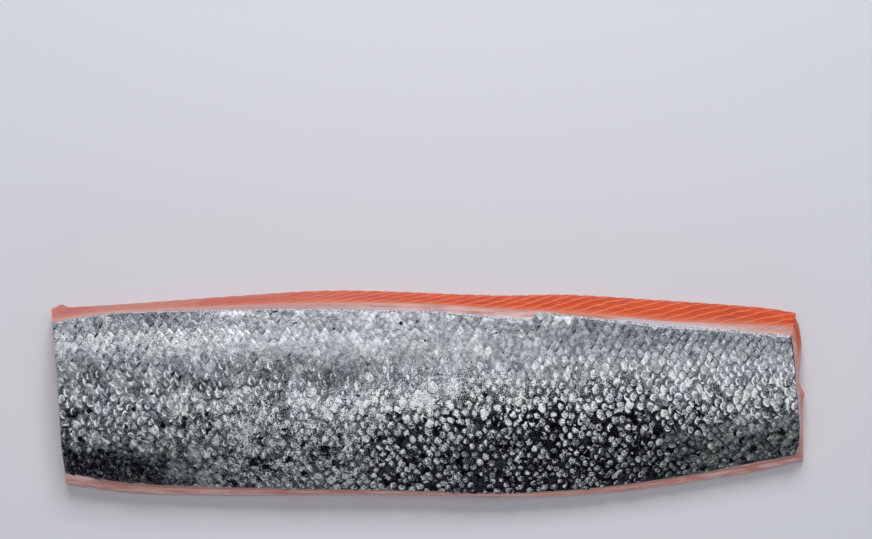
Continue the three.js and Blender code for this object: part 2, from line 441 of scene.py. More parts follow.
# %% Depths of the layers
SKIN = 0.9
GAP = 0.3
fat_share = through([(-200, 0.08), (-110, 0.11), (-20, 0.15), (50, 0.14), (72, 0.09),
                     (95, 0.045), (120, 0.042), (150, 0.06), (178, 0.11), (200, 0.16)])


def flesh_top(x, v):
    """Depth of the flesh: the skin, the fat under it, and the thin films between them."""
    return SKIN + GAP + fat_share(x) * height(x, v) + GAP


print("the flesh starts", flesh_top(0.0, 0.0).round(1), "mm down at the middle")

# %% [markdown]
# ### The colour of the flesh
# Flesh lets light in, so it gets some subsurface scattering. Its colour goes from a dull
# pink at the head end to a deep orange at the tail end, with darker clouds and fine pale
# fibres. Over that come the seams, a pale zone next to the fat and at the foot, and the
# pale, streaky flesh of the back edge. That paleness is partly the edge's own colour and
# partly painted light that lifts the shaded back face. The mesh stores how much of each
# belongs where.

# %% Flesh colour
PINK_TO, ORANGE_FROM = -165, 30
SEAM_UNREST = 0.7

flesh_look = Nodes("moist salmon flesh")
uneven_band = flesh_look.plus(flesh_look.value("band"),
                              flesh_look.times(flesh_look.noise(9, 4), SEAM_UNREST))
off_middle = flesh_look.minus(flesh_look.math("FRACT", uneven_band), 0.5)
seam = flesh_look.fade(flesh_look.math("ABSOLUTE", off_middle), 0.32, 0.5)
fibre = flesh_look.noise(1.5, 4, (8, 1, 1))
cloud = flesh_look.noise(26, 2)
along = flesh_look.node("ShaderNodeSeparateXYZ", 0, Vector=flesh_look.place())
toward_tail = flesh_look.fade(along, PINK_TO * MM, ORANGE_FROM * MM)
plain = flesh_look.blend(toward_tail, srgb(170, 117, 112), srgb(194, 60, 6))
ruddy = flesh_look.blend(toward_tail, srgb(166, 82, 84), srgb(180, 56, 14))
near_fat = flesh_look.plus(flesh_look.value("deep"), flesh_look.times(fibre, 0.3))
streak = flesh_look.fade(flesh_look.noise(2.6, 3, (9, 1, 1)), 0.4, 0.6, 0.5, -0.6)
streak = flesh_look.times(streak, flesh_look.fade(flesh_look.value("back"), 0.6, 0.9))
coloured = flesh_look.layered(
    plain,
    (flesh_look.fade(cloud, 0.35, 0.7), ruddy),
    (flesh_look.fade(fibre, 0.42, 0.68, 0, 0.4), srgb(232, 104, 52)),
    (flesh_look.times(seam, flesh_look.value("seams")), srgb(240, 136, 94)),
    (flesh_look.fade(near_fat, 0.1, 0.32, 0.6, 0.0), srgb(218, 140, 118)),
    (flesh_look.fade(flesh_look.value("foot"), 0.8, 1.0, 0.0, 0.7), srgb(220, 150, 146)),
    # partly painted light: the back edge's own pale colour, made paler still to lift its shade
    (flesh_look.value("back"), srgb(248, 188, 180)),
    (flesh_look.fade(streak, 0.0, 1.0), srgb(214, 124, 110)),
    (flesh_look.fade(streak, 0.0, -1.0), srgb(255, 226, 216)))
relief = flesh_look.plus(flesh_look.times(fibre, 0.4), flesh_look.times(seam, -0.5))
flesh_look.set(Base_Color=coloured, Roughness=0.5, Specular_IOR_Level=0.3,
               Coat_Weight=0.12, Coat_Roughness=0.16,
               Subsurface_Weight=0.18, Subsurface_Scale=0.004,
               Subsurface_Radius=(1.0, 0.32, 0.16), Normal=flesh_look.bump(relief, 0.35))
print("the flesh colour uses", len(flesh_look.tree.nodes), "nodes")

# %% [markdown]
# ### The shape of the flesh
# A cut band of muscle swells a little between its seams, and on the underside the seams
# press in. So the long cut faces move out and in with the band count, and the mesh is
# fine enough along the piece to show each band.

# %% Flesh mesh
FLESH_CELLS = (620, 44, 20)
LEVEL_EASE = 0.85
BAND_OUT, BAND_ROUND = 0.2, 0.7
SEAM_UP, SEAM_WIDE = 0.25, 0.35

points, faces = box_surface(*FLESH_CELLS)
u, v, share = (points / FLESH_CELLS).T
share = share ** LEVEL_EASE
place, f = body(u, v, lambda x, v: mix(flesh_top(x, v), height(x, v), share))
x = place[:, 0]
band = band_count(x, v, f)
swell = BAND_OUT * (2 * np.abs(np.sin(math.pi * band)) ** BAND_ROUND - 1) * smooth(share * 2)
place[:, 1] += swell * ((v == 0).astype(float) - (v == 1))
inside = (share == 1) * (v > 0) * (v < 1) * (u > 0) * (u < 1)
place[:, 2] += SEAM_UP * hump(np.sin(math.pi * band) / SEAM_WIDE) * inside
flesh = make_piece("flesh_bands", place, faces, flesh_look.material)

seam_strength = mix(0.35, 0.62, smooth((x + 140) / 120)) + 0.5 * (u == 0)
pale_tail = smooth((v - 0.14) / 0.16) * (1 - 0.6 * hump((v - 0.55) / 0.08))
pale_end = 0.6 * (u == 1) * pale_tail + 0.4 * (u == 0)
add_value(flesh, "band", band)
add_value(flesh, "deep", share)
add_value(flesh, "foot", f * (v == 0))
add_value(flesh, "seams", seam_strength)
# back: the pale back edge, partly painted light, and the pale cut ends
add_value(flesh, "back", np.maximum(0.9 * smooth((v - 0.9) / 0.08), pale_end))
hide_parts("flesh")

# %% [markdown]
# ## The fat
# Between skin and flesh lies a pale layer, two or three millimetres thick, with long
# streaks. It is grey where it is thin, duller at the head end, warmer at the tail end,
# and nearly as orange as the flesh under the loose lip of skin. It follows the same
# body, between two depths.

# %% Fat colour
fat_look = Nodes("pale salmon fat")
streak = fat_look.noise(2.2, 4, (6, 1, 1))
patch = fat_look.noise(18, 3)
near_flesh = fat_look.plus(fat_look.value("deep"), fat_look.times(streak, 0.8))
pink = fat_look.layered(
    srgb(184, 136, 140),
    (fat_look.fade(patch, 0.35, 0.65), srgb(204, 162, 160)),
    (fat_look.fade(streak, 0.44, 0.62, 0, 0.7), srgb(216, 184, 180)),
    (fat_look.fade(streak, 0.34, 0.48, 0.6, 0), srgb(172, 106, 108)),
    (fat_look.value("thin"), srgb(184, 178, 192)),
    (fat_look.value("head_part"), srgb(174, 130, 131)),
    (fat_look.value("tail_part"), srgb(206, 134, 112)),
    (fat_look.value("lapped"), srgb(200, 84, 46)),
    (fat_look.fade(near_flesh, 0.85, 1.4, 0.0, 0.6), srgb(220, 134, 104)))
fat_look.set(Base_Color=pink, Roughness=0.38, Coat_Weight=0.5, Coat_Roughness=0.18,
             Subsurface_Weight=0.2, Subsurface_Scale=0.004, Subsurface_Radius=(1.0, 0.5, 0.4),
             Normal=fat_look.bump(streak, 0.2))
print("the fat colour uses", len(fat_look.tree.nodes), "nodes")

# %% Fat mesh
FAT_CELLS = (600, 30, 3)
FAT_OVERLAP = 0.2

points, faces = box_surface(*FAT_CELLS)
u, v, share = (points / FAT_CELLS).T
place, _ = body(u, v, lambda x, v: mix(SKIN, flesh_top(x, v) + FAT_OVERLAP, share))
x = place[:, 0]
fat = make_piece("fat_under_skin", place, faces, fat_look.material)
add_value(fat, "deep", share)
add_value(fat, "thin", 0.8 * hump((x - 118) / 32))
add_value(fat, "head_part", 0.75 * smooth((20 - x) / 90))
add_value(fat, "tail_part", np.maximum(0.4 * smooth((x - 140) / 35) * (v < 0.5), 0.7 * (v == 1)))
add_value(fat, "lapped", 0.85 * smooth((x - 60) / 12) * smooth((108 - x) / 16) * (v == 0))
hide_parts("fat_layer")

# %% [markdown]
# ## Where the skin is dark
# The flank of a salmon is silver and its back is nearly black. The change isn't sudden:
# black pigment first shows as flecks between the silver scales and then takes over from
# them. One function says how much pigment there is at each place, so that the skin and
# the scales on it agree.

# %% Pigment
SKIN_ACROSS = -93.0
CLOUD_SIZE, FLECK_SIZE = 30, 9
BELT_FROM, BELT_TO = -70, 175


def pigment_at(x, v):
    """0 on the silver flank, 1 on the darkest back: an S-shaped step across the fillet,
    strongest past the middle of the length, with cloudy patches."""
    across = SKIN_ACROSS * v
    cloud = waves(x, across, CLOUD_SIZE, 5)
    flecks = waves(x, across, FLECK_SIZE, 6)
    belt = smooth((x - BELT_FROM) / 90) * smooth((BELT_TO - x) / 80)
    start = 0.32 + 0.1 * hump((x + 20) / 55) + 0.03 * cloud
    onset = smooth((v - start) / mix(0.42, 0.34, belt))
    belt = mix(0.36, 1.0, belt)
    return clamp01(onset * (belt + 0.1 * cloud + 0.1 * flecks) + 0.03 * flecks)


print("pigment on the flank", pigment_at(0.0, 0.1).round(2),
      "on the back", pigment_at(40.0, 0.9).round(2))

# %% [markdown]
# ## The skin
# The skin is the thin sheet that the scales are set in. It shows between them and at the
# cut edges. We make it like the other layers, and draw out the loose lip that the knife
# left over the flank.

# %% Skin shape
FLAP_X, FLAP_RUN, FLAP_RISE, FLAP_OUT, FLAP_FADE, FLAP_DEEP = 58, 40, 2, 3.7, 1.0, 0.19


def flap(x):
    """How far a loose lip of skin reaches over the flank: a sharp start, then a fade."""
    along = clamp01((x - FLAP_X) / FLAP_RUN)
    return FLAP_OUT * smooth((x - FLAP_X) / FLAP_RISE + 1) * (1 - along) ** FLAP_FADE


def skin_body(u, v, depth):
    """The fillet's point at a small depth in the skin, with the loose lip drawn out."""
    place, _ = body(u, v, lambda x, v: depth + 0 * x)
    place[..., 1] += flap(place[..., 0]) * clamp01(1 - v / FLAP_DEEP)
    return place


print("the loose lip is", flap(float(FLAP_X)), "mm wide where it starts")

# %% [markdown]
# Under the scales the sheet is mottled silver on the flank and black on the back. Along
# the flank its cut edge gets a painted highlight, a bright colour that stands in for wet
# glints, and it looks dark and wet at the two ends.

# %% Skin colour and mesh
SKIN_CELLS = (480, 60, 2)

skin_look = Nodes("skin under the scales")
mottle = skin_look.noise(1.2, 3)
black = skin_look.blend(skin_look.fade(mottle, 0.4, 0.7), srgb(7, 8, 13), srgb(34, 36, 42))
silver = skin_look.blend(skin_look.fade(mottle, 0.35, 0.7), srgb(112, 118, 126), srgb(178, 184, 192))
# painted highlight: a bright mottled colour for the glints on the flank's cut edge
painted_edge_glint = skin_look.blend(skin_look.fade(mottle, 0.36, 0.6), srgb(112, 116, 124), srgb(204, 206, 212))
under = skin_look.layered(
    silver,
    (skin_look.fade(skin_look.value("pigment"), 0.1, 0.5), black),
    (skin_look.value("flank_edge_glint"), painted_edge_glint),
    (skin_look.value("end_edge"), srgb(44, 38, 42)))
skin_look.set(Base_Color=under, Roughness=0.45, Specular_IOR_Level=0.3,
              Normal=skin_look.bump(mottle, 0.15))

points, faces = box_surface(*SKIN_CELLS)
u, v, share = (points / SKIN_CELLS).T
place = skin_body(u, v, share * SKIN)
skin = make_piece("skin_sheet", place, faces, skin_look.material)
add_value(skin, "pigment", pigment_at(place[:, 0], v))
# where the painted highlight of the cut edge goes: the edge along the flank
add_value(skin, "flank_edge_glint", v == 0)
add_value(skin, "end_edge", (u == 0) | (u == 1))
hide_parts("skin")

# %% [markdown]
# ## The scales
# About eighty columns of scales cover the piece, each row staggered by half a scale. The
# rows are even on the flank and draw together over the back. Every scale is a thin domed
# plate. Its root lies under its neighbours, and its round free end points to the tail
# and stands up a little. One mesh holds them all, laid on the skin by the same u and v
# as the body, and each scale carries a few numbers for its own tone.

# %% Scale layout
SCALE_COLUMNS, SCALE_ROWS = 80, 25
FLAT_ROWS, FLAT_STEP, ROW_SHRINK = 9.4, 0.048, 0.04
SKIN_FROM, SKIN_TO = -191.0, 193.0
SKIN_LENGTH, SKIN_WIDTH = 384.0, 91.0
COLUMN_EASE = 0.09


def row_place(row):
    """v of a row: even steps on the flank, then steps that shrink by the same share."""
    past = np.maximum(row - FLAT_ROWS, 0)
    return FLAT_STEP * (np.minimum(row, FLAT_ROWS) + (1 - np.exp(-ROW_SHRINK * past)) / ROW_SHRINK)


def column_place(share):
    """u of a place along the columns: they are a little wider at the head than at the tail."""
    return share + COLUMN_EASE * share * (1 - share)


row, column = np.meshgrid(np.arange(SCALE_ROWS + 1), np.arange(SCALE_COLUMNS + 1), indexing="ij")
row, column = row.ravel(), column.ravel()
count = row.size
row_step = (row_place(row + 0.5) - row_place(row - 0.5)) * SKIN_WIDTH
column_share = (column + 0.5 * (row % 2)) / SCALE_COLUMNS
centre_u, centre_v = column_place(column_share), row_place(row)
scale_x = mix(SKIN_FROM, SKIN_TO, centre_u)
pigment = pigment_at(scale_x, centre_v)
print(count, "scales; rows are", row_step.max().round(1), "to", row_step.min().round(1), "mm apart")

# %% [markdown]
# No scale sits quite in its row. Each one drifts with its neighbours and a little on its
# own, and differs in size and turn. On the dark back the scales look like loose beads,
# so they are less regular there: the number beady says how far we are into that part.

# %% Unrest of the scales
DRIFT_SIZE = 26
DRIFT_ALONG, DRIFT_ACROSS = 0.45, 0.5
JITTER_ALONG, JITTER_ACROSS = 0.45, 0.11
SIZE_SPREAD, SIZE_LIMIT = 0.09, 0.25
TURN_SPREAD = 0.12

rng = np.random.default_rng(41)
beady = smooth((centre_v - 0.2) / 0.22) * smooth((pigment + 0.15) / 0.3)
unrest = mix(0.5, 1.0, beady)
drift_x, drift_y = [waves(scale_x, SKIN_ACROSS * centre_v, DRIFT_SIZE, seed) for seed in (21, 22)]
jitter_x = unrest * rng.normal(0, JITTER_ALONG, count)
jitter_y = unrest * rng.normal(0, JITTER_ACROSS, count) * row_step
centre_u = centre_u + (jitter_x + DRIFT_ALONG * drift_x) / SKIN_LENGTH
centre_v = centre_v + (jitter_y + DRIFT_ACROSS * drift_y) / SKIN_WIDTH
scale_x = mix(SKIN_FROM, SKIN_TO, centre_u)
spread = np.clip(rng.normal(0, SIZE_SPREAD, count), -SIZE_LIMIT, SIZE_LIMIT)
size = mix(1.0, 0.88, beady) * (1 + unrest * spread)
turn = unrest * rng.normal(0, TURN_SPREAD, count)
print("scale sizes run from", size.min().round(2), "to", size.max().round(2))

# %% [markdown]
# One plate is a small disc of three rings round a middle point. Its front half is drawn
# out into the root. We give every scale its own uneven outline, dome and tilt: a fish
# has no two alike.

# %% One scale
RINGS = np.array([0.42, 0.78, 1.0])
SPOKES = 14
FREE_LENGTH, ROOT_LENGTH = 2.8, 4.6
WIDTH_SHARE = 0.86
SQUARENESS, WOBBLE = -0.12, 0.05

spoke = np.arange(SPOKES) * 2 * math.pi / SPOKES
ring, angle = np.meshgrid(np.append(0.0, RINGS), spoke, indexing="ij")
ring = np.append(0.0, ring[1:].ravel())
angle = np.append(0.0, angle[1:].ravel())

wobble = SQUARENESS * np.sin(2 * angle) ** 2 * (1 - 0.5 * beady[:, None])
two_lobes = np.cos(2 * angle[None] + rng.uniform(0, 6.3, (count, 1)))
three_lobes = np.cos(3 * angle[None] + rng.uniform(0, 6.3, (count, 1)))
wobble = wobble + unrest[:, None] * WOBBLE * (two_lobes + three_lobes)
wide = WIDTH_SHARE * row_step[:, None]
reach = np.where(np.cos(angle) > 0, FREE_LENGTH, ROOT_LENGTH)
long = 1 + COLUMN_EASE * (1 - 2 * column_share)
plate_x = (size * long)[:, None] * (1 + wobble) * ring * reach * np.cos(angle)
plate_y = size[:, None] * (1 + wobble) * ring * wide * np.sin(angle)
print("a scale is about", np.ptp(plate_x, 1).mean().round(1), "mm long and",
      np.ptp(plate_y, 1).mean().round(1), "mm wide")

# %% Dome and faces of a scale
LIFT = 0.03
RIDGE_REACH, RIDGE_FALL = 2.6, 0.6
DOME_FLANK, DOME_BACK, DOME_SPREAD = 0.06, 0.26, 0.3
TILT_FLANK, TILT_BACK = 0.04, 0.09

dome = (mix(DOME_FLANK, DOME_BACK, beady) * rng.normal(1, DOME_SPREAD, count))[:, None]
ridge = clamp01(1 - (plate_x / RIDGE_REACH) ** 2 - RIDGE_FALL * (plate_y / wide) ** 2)
round_top = mix(1 - ring ** 4, ridge, beady[:, None])
tilt = mix(TILT_FLANK, TILT_BACK, beady) + mix(0.007, 0.06, beady) * rng.normal(0, 1, count)
side = mix(0.004, 0.05, beady) * rng.normal(0, 1, count)
up = LIFT + tilt[:, None] * (plate_x + ROOT_LENGTH) + side[:, None] * plate_y + dome * round_top

at = 1 + np.arange(SPOKES)
after = np.roll(at, -1)
one_scale = [(0, int(b), int(a)) for a, b in zip(at, after)]
for inner_ring in range(len(RINGS) - 1):
    here, there = SPOKES * inner_ring, SPOKES * (inner_ring + 1)
    one_scale += [(int(b + here), int(b + there), int(a + there), int(a + here))
                  for a, b in zip(at, after)]
one_scale.append(tuple(int(n) for n in at + SPOKES * (len(RINGS) - 1)))
print("one scale has", len(one_scale), "faces and stands", up.max(1).mean().round(2), "mm up")

# %% [markdown]
# To lay the plates, we read a scale's x and y as steps in u and v. The skin's outward
# direction is the cross product of two short steps on it, and each point moves out
# along it by its own height. Plates that reach past a cut are folded flat at the edge.


# %% Scales on the skin
def soft_edge(t):
    """t inside 0 to 1; outside it creeps on by a hundredth, so that a scale which the
    knife has cut keeps all its faces."""
    return np.clip(t, 0, 1) + 0.01 * (t - np.clip(t, 0, 1))


def lay_scales(x, y, up):
    """Points of all scales, x along the fish, y across it and up from it in millimetres,
    one row for each scale, set on the skin, and the pigment under each point."""
    spin_x = x * np.cos(turn)[:, None] - y * np.sin(turn)[:, None]
    spin_y = x * np.sin(turn)[:, None] + y * np.cos(turn)[:, None]
    u = soft_edge(centre_u[:, None] + spin_x / SKIN_LENGTH)
    middle = mix(SKIN_FROM, SKIN_TO, clamp01(u))
    v = soft_edge(centre_v[:, None] + spin_y / (flank_skin(middle) - back_skin(middle)))
    step = 1e-3
    low_u, low_v = np.clip(u, 0, 1 - step), np.clip(v, 0, 1 - step)
    along = skin_body(low_u + step, v, 0.0) - skin_body(low_u, v, 0.0)
    down = skin_body(u, low_v + step, 0.0) - skin_body(u, low_v, 0.0)
    outward = np.cross(down, along)
    outward /= np.linalg.norm(outward, axis=-1, keepdims=True)
    return skin_body(u, v, 0.0) + outward * up[..., None], pigment_at(middle, v)


block = ring.size
points, pigment_below = lay_scales(plate_x, plate_y, up)
points = points.reshape(-1, 3)
faces = [tuple(n + start for n in face) for start in range(0, count * block, block)
         for face in one_scale]
print("all scales have", len(points), "points")

# %% [markdown]
# ### Regions of the skin
# A real skin isn't one grey: scales shine or lie dull by where they sit. Three small
# functions say where a region is: past a place, before a place, or near one. Two parts
# of the back are dull and even, near the head end and at the tail end, and lively is
# low there.


# %% Regions
def past(value, start, run):
    """0 up to start, then a smooth step up to 1 over the run."""
    return smooth((value - start) / run)


def before(value, end, run):
    """0 from the end on, and a smooth step up to 1 over the run before it."""
    return smooth((end - value) / run)


def near(value, middle, width):
    """A bell that is 1 at the middle and dies away over about the width."""
    return hump((value - middle) / width)


calm = np.random.default_rng(7)
across = SKIN_ACROSS * centre_v
clump = waves(scale_x, across, 11, 12)
uneven = waves(scale_x, across, 24, 15)
at_ends = past(np.abs(scale_x), 80, 50)
at_tail = at_ends * (scale_x > 0)
head_beads = beady * before(scale_x, -20, 60)
dull_head = near(scale_x, -150, 45) * past(centre_v, 0.72, 0.16)
dull_tail = past(scale_x, 100, 45) * past(centre_v, 0.64, 0.14)
lively = 1 - 0.8 * clamp01(dull_head + 0.9 * dull_tail)

shine = 0.95 + 0.05 * calm.normal(size=count)
lost = calm.random(count) < (0.02 + 0.12 * before(clump, -0.3, 1)) * past(pigment, 0.3, 0.3)
shine = clamp01(np.where(lost, 0.15 * calm.random(count), shine))
print(int(lost.sum()), "scales have lost their silver")

# %% [markdown]
# ### The tone of each scale
# Tone is how much lighter or darker a scale is than usual, where 1 would take black to
# white. Each scale has its own by chance, and regions add theirs, some of it painted
# light. The flank is darker along its cut, painted shade that tones down the lamp's sheen
# there, and the first row along the cut gets painted glints. A painted band of light
# brightens the scales where the silver meets the back, and painted shade darkens the back
# towards its edge.

# %% Tones
chance = mix(0.045, 0.14 - 0.05 * head_beads, beady) * calm.normal(size=count)
chance = chance * mix(0.4, 1.0, lively)
# painted highlight: brighter glints on the first row along the flank's cut
lit_lip = 0.12 + 0.16 * near(scale_x, 72, 26) + 0.15 * near(scale_x, -70, 60)
first_row_glint = lit_lip * clamp01(calm.normal(0.1, 0.5, count)) * (row == 0)

# the first term is painted shade that darkens the flank along its cut against the lamp's strong
# sheen
flank_tone = (
    -(0.08 + 0.11 * past(scale_x, -20, 60)) * before(centre_v, 0.22, 0.2)
    - 0.13 * before(centre_v, 0.16, 0.12) * before(scale_x, -90, 40) * past(scale_x, -190, 50)
    + 0.12 * near(centre_v, 0.19, 0.08) * before(scale_x, 0, 40)
    + 0.05 * before(centre_v, 0.25, 0.1) * before(scale_x, -130, 40)
    + 0.02 * before(centre_v, 0.35, 0.1) * past(scale_x, 20, 40)
    - 0.04 * before(centre_v, 0.3, 0.1) * past(scale_x, 60, 40)
    - 0.03 * before(scale_x, 30, 60) * (1 - beady))

# painted light: a brighter band where the silver meets the back, and the last term brightens the
# beads on the head side
painted_light_band = near(centre_v, 0.54, 0.08) * past(scale_x, -80, 70)
dark_patches = near(centre_v - 0.04 * uneven, 0.37, 0.1) * before(scale_x, 20, 60)
middle_tone = (
    0.27 * painted_light_band * (1 - 0.6 * past(scale_x, 105, 60))
    - (0.14 + 0.07 * uneven) * dark_patches
    + 0.12 * past(centre_v, 0.42, 0.12) * before(scale_x, 40, 60))

# painted shade: the back darkens towards its edge
back_tone = (
    -0.08 * past(centre_v, 0.6, 0.3) * near(scale_x, 70, 60)
    - 0.06 * past(centre_v, 0.72, 0.2)
    - 0.25 * past(centre_v, 0.8, 0.1) * before(scale_x, -110, 40)
    + 0.1 * past(centre_v, 0.6, 0.1) * near(scale_x, 148, 28)
    - 0.03 * beady * past(scale_x, 90, 50) * (centre_v < 0.55)
    - 0.07 * beady * before(scale_x, -140, 40) * (1 - 1.8 * near(centre_v, 0.74, 0.08))
    - 0.05 * head_beads - 0.1 * (1 - lively))

tone = chance + first_row_glint + flank_tone + middle_tone + back_tone
print("tones run from", tone.min().round(2), "to", tone.max().round(2))

# %% [markdown]
# ### Spots, glints and gaps
# The other numbers of a scale say how warm its silver is, how large the silver spot on
# it, how strong and how large its glint, which is a painted highlight, whether that glint
# is an oval or an arc, and how strong the painted highlight along its far rim is. Painted
# shade in the crevices and valleys between the scales makes the flank rough, less so at
# its middle.

# %% Spots and glints
tint = clamp01(0.35 + 0.35 * waves(scale_x, across, 22, 9) + 0.25 * calm.normal(size=count))
tint = tint * mix(0.2, 0.5, beady) + 0.5 * (1 - lively)
spot = 2.2 - 0.25 * past(pigment, 0.5, 0.5) + 1.1 * head_beads - 0.15 * past(scale_x, 20, 40)
spot = np.clip(spot + 0.2 * beady * clump + 0.2 * calm.normal(size=count), 1.5, 3.6)

# painted highlight: each scale's glint, with its strength, its size and whether it is an oval or an
# arc
starting = np.maximum(beady, 0.7 * past(centre_v, 0.16, 0.14) * past(scale_x, 30, 40))
fading = mix(1.0, 0.7, past(centre_v, 0.5, 0.3))
glint = clamp01(calm.normal(0.7, 0.45, count) + 0.2 * past(np.abs(scale_x), 100, 40))
glint = glint * mix(0.1, 1.0, starting) * lively * fading
glint_size = mix(0.6, 1.0, beady) * (1 - 0.2 * head_beads) * np.exp(calm.normal(0, 0.18, count))
arc = mix(0.35, 1.0, past(np.abs(scale_x - 10), 50, 50))
arc = clamp01(arc + 0.3 * calm.normal(size=count) + 0.3 * at_tail)
# painted highlight: how bright the dash along each scale's far rim is
rim_light = mix(0.06, 1.0, near(scale_x, -125, 90)) * clamp01(calm.normal(0.55, 0.45, count))
rim_light = rim_light * (1 - beady * past(scale_x, -80, 60)) * (1 + 0.6 * beady)
rim_light = rim_light * (1 - 0.7 * before(centre_v, 0.16, 0.1))
print("the mean glint is", glint.mean().round(2))

# %% Gaps and grain
rough_flank = 1 - 0.75 * near(scale_x, -10, 90)
# painted shade: how dark each scale's crevices and rim shadows are painted
crevice_shade = clamp01(calm.normal(mix(-0.2, 0.5, past(scale_x, 10, 50)), 0.55, count)) * rough_flank
at_border = mix(0.4, 1.0, past(scale_x, -30, 50)) * near(centre_v, 0.33, 0.11)
border_crevice = at_border * calm.normal(0.15, 0.5, count)
head_crevice = before(scale_x, -110, 40) * (1 - beady) * calm.normal(0.3, 0.4, count)
crevice_shade = clamp01(crevice_shade + border_crevice + head_crevice)
# painted shade: how much of the darker skin shows round each silver spot, as shade in the valleys
valley_shade = mix(0.25, 0.8, past(scale_x, 10, 50)) * clamp01(calm.normal(0.9, 0.2, count))
valley_shade = valley_shade * rough_flank

flank_grain = 0.6 + 0.7 * before(scale_x, -60, 60) + 0.3 * past(scale_x, 60, 80)
bead_grain = mix(mix(4.0, 3.2, head_beads), 1.8, at_ends)
even_belt = 1 - 0.4 * near(centre_v, 0.37, 0.11) * before(scale_x, 0, 40)
grain = mix(flank_grain, bead_grain, beady) * even_belt * mix(0.3, 1.0, lively)
wander = mix(mix(4.5, 3.2, past(scale_x, 20, 60)), 2.2, at_tail)
shift_x, shift_y = calm.normal(0, 0.4, (2, count, 1)) * unrest[:, None]
print("the mean crevice is", crevice_shade.mean().round(2))

# %% [markdown]
# ### The look of a scale
# Each point of a plate stores where it is on its own scale, in millimetres, so the
# material can paint soft ovals on every scale: the silver spot, the glint and the bright
# dash, which are painted highlights, and the dark cusp between two plates, which is
# painted shade. Noise makes their edges ragged, because clean ovals look like plastic.

# %% Patterns on a scale
scale_look = Nodes("silver scales")
on_scale = scale_look.node("ShaderNodeAttribute", "Vector", {"attribute_name": "on_scale"})
pigment_here = scale_look.value("pigment")
fine = scale_look.minus(scale_look.noise(0.65, 2, rough=0.7), 0.5)
blotch = scale_look.minus(scale_look.noise(2.4, 3), 0.5)
ragged = scale_look.minus(scale_look.noise(2.6, 4, rough=0.7), 0.5)
crinkle = scale_look.noise(1.5, 3, rough=0.65)
hollow = scale_look.noise(5.5, 3, rough=0.6)


def spot_on_scale(centre, radii, size, softness, wander, turn=0.0):
    """1 inside an oval spot on the scale and 0 outside. Its centre is in millimetres, its
    radii are shares of size, turn is in degrees, and wander makes its edge ragged."""
    stretched = scale_look.node("ShaderNodeMapping", 0, {"vector_type": "TEXTURE"}, Vector=on_scale,
                                Location=(*centre, 0.0), Rotation=(0, 0, math.radians(turn)),
                                Scale=(*radii, 1.0))
    far = scale_look.node("ShaderNodeVectorMath", "Value", {"operation": "LENGTH"}, _0=stretched)
    far = scale_look.plus(far, scale_look.times(ragged, wander))
    return scale_look.fade(scale_look.minus(far, size), -softness, softness, 1.0, 0.0)


disc = spot_on_scale((0.35, 0.0), (1.0, 1.05), scale_look.value("spot"), 0.2,
                     scale_look.value("wander"))
# painted light and shade: each bead is lighter at its upper left, where the light would fall
painted_lit_patch = spot_on_scale((-0.3, -0.4), (1.0, 1.15), 1.55, 1.35, 1.2)
print("the patterns use", len(scale_look.tree.nodes), "nodes")

# %% Painted glints and rim shadows
reach = scale_look.value("glint_size")
# painted highlights: an oval glint, or a crescent glint along the rim
oval = spot_on_scale((-0.3, -0.3), (0.72, 1.35), reach, 0.15, 2.2)
outer = spot_on_scale((0.2, 0.0), (1.5, 1.8), reach, 0.1, 0.8)
inner = spot_on_scale((1.0, -0.35), (1.5, 1.9), reach, 0.1, 0.8)
crescent = scale_look.times(outer, scale_look.minus(1.0, inner))
painted_glint = scale_look.between(scale_look.value("arc"), oval, crescent)
painted_glint = scale_look.times(painted_glint, scale_look.value("glint"))
# painted highlight: a bright dash along the far rim, on the side turned to the light
painted_rim_highlight = spot_on_scale((1.5, -1.6), (2.2, 0.6), 1.0, 0.35, 1.2, turn=48)
painted_rim_highlight = scale_look.times(painted_rim_highlight, scale_look.value("rim_light"))

# painted shade: a dark cusp between plates, and a painted shadow on the rim side turned from the
# light
cusp_shade = spot_on_scale((1.2, 2.5), (1.4, 0.5), 1.0, 0.4, 2.0, turn=-52)
rim = scale_look.fade(scale_look.value("ring"), 0.76, 0.95)
rim_shadow = scale_look.times(rim, scale_look.fade(scale_look.value("lit_side"), -0.1, -0.6))
rim_shadow = scale_look.times(rim_shadow, scale_look.fade(ragged, -0.08, 0.06))
painted_shade = scale_look.times(scale_look.plus(rim_shadow, cusp_shade), scale_look.value("crevice_shade"))
print("with glints and cracks:", len(scale_look.tree.nodes), "nodes")

# %% [markdown]
# All of that adds up to one number, from 0 for black to 1 for white, and a ramp turns it
# into slightly blue greys. There are two sums: silver for where the scale has its
# shining cover, and gap for the dark skin that shows where it hasn't.

# %% Silver and gaps
beads = scale_look.fade(pigment_here, 0.0, 0.3)
fine_grain = scale_look.times(fine, scale_look.value("grain"))
flank = scale_look.plus(0.68, fine_grain, scale_look.times(blotch, 0.75))
bead = scale_look.plus(0.38, fine_grain, scale_look.times(blotch, 1.1), scale_look.times(painted_lit_patch, 0.2))
silver = scale_look.plus(scale_look.between(beads, flank, bead), scale_look.value("tone"),
                         scale_look.times(painted_glint, 0.78), scale_look.times(painted_rim_highlight, 0.24),
                         scale_look.times(painted_shade, -0.55))

hole = scale_look.plus(hollow, scale_look.times(ragged, 0.25),
                       scale_look.fade(pigment_here, 0.04, 0.6, -0.7, -0.59))
hole = scale_look.fade(hole, -0.02, 0.03)
# the gap is the dark skin between the scales, with painted shade where the crevices are
gap = scale_look.plus(scale_look.fade(pigment_here, 0.05, 0.9, 0.5, 0.14),
                      scale_look.times(fine, scale_look.between(beads, 0.6, 1.6)),
                      scale_look.times(scale_look.value("crevice_shade"), -0.2),
                      scale_look.times(scale_look.value("dull"), 0.14))
gap = scale_look.times(gap, scale_look.minus(1.0, scale_look.times(hole, 0.96)))

